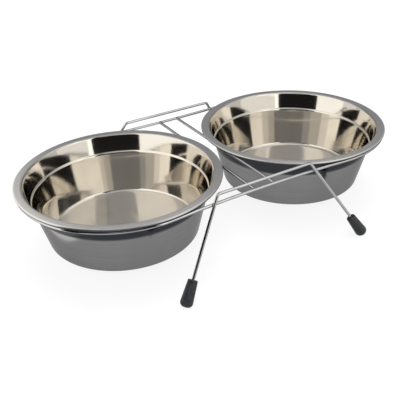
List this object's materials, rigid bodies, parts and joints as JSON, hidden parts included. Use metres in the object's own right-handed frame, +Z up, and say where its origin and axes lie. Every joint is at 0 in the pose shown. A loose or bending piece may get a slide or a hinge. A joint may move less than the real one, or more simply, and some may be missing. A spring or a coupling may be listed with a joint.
{
  "type": "double pet bowl",
  "caption": "Round steel pet bowls with rolled rims, hung side by side in a low stand of bent chromed wire on splayed legs with rubber feet; the bowls lift out.",
  "frame": {"origin": "on the floor, midway between the two bowls", "axes": "+X along the row of bowls towards the right bowl, +Y to the rear, +Z up"},
  "size_m": [0.4294, 0.265, 0.0917],
  "materials": {
    "bowl_steel": "polished inside, satin rim, brushed outside",
    "chromed_wire": "bright chrome plating",
    "foot_rubber": "matt moulded rubber"
  },
  "bodies": {
    "stand": {"loop_rail": "chromed_wire", "left_crossbar": "chromed_wire", "right_crossbar": "chromed_wire", "front_leg_frame": "chromed_wire", "rear_leg_frame": "chromed_wire", "front_left_foot": "foot_rubber", "front_right_foot": "foot_rubber", "rear_left_foot": "foot_rubber", "rear_right_foot": "foot_rubber"},
    "left_bowl_body": {"left_bowl": "bowl_steel"},
    "right_bowl_body": {"right_bowl": "bowl_steel"}
  },
  "joints": [
    {"name": "left_bowl_lift", "type": "slide", "parent": "stand", "child": "left_bowl_body", "axis": [0, 0, 1], "range_m": [0, 0.09]},
    {"name": "right_bowl_lift", "type": "slide", "parent": "stand", "child": "right_bowl_body", "axis": [0, 0, 1], "range_m": [0, 0.09]}
  ]
}
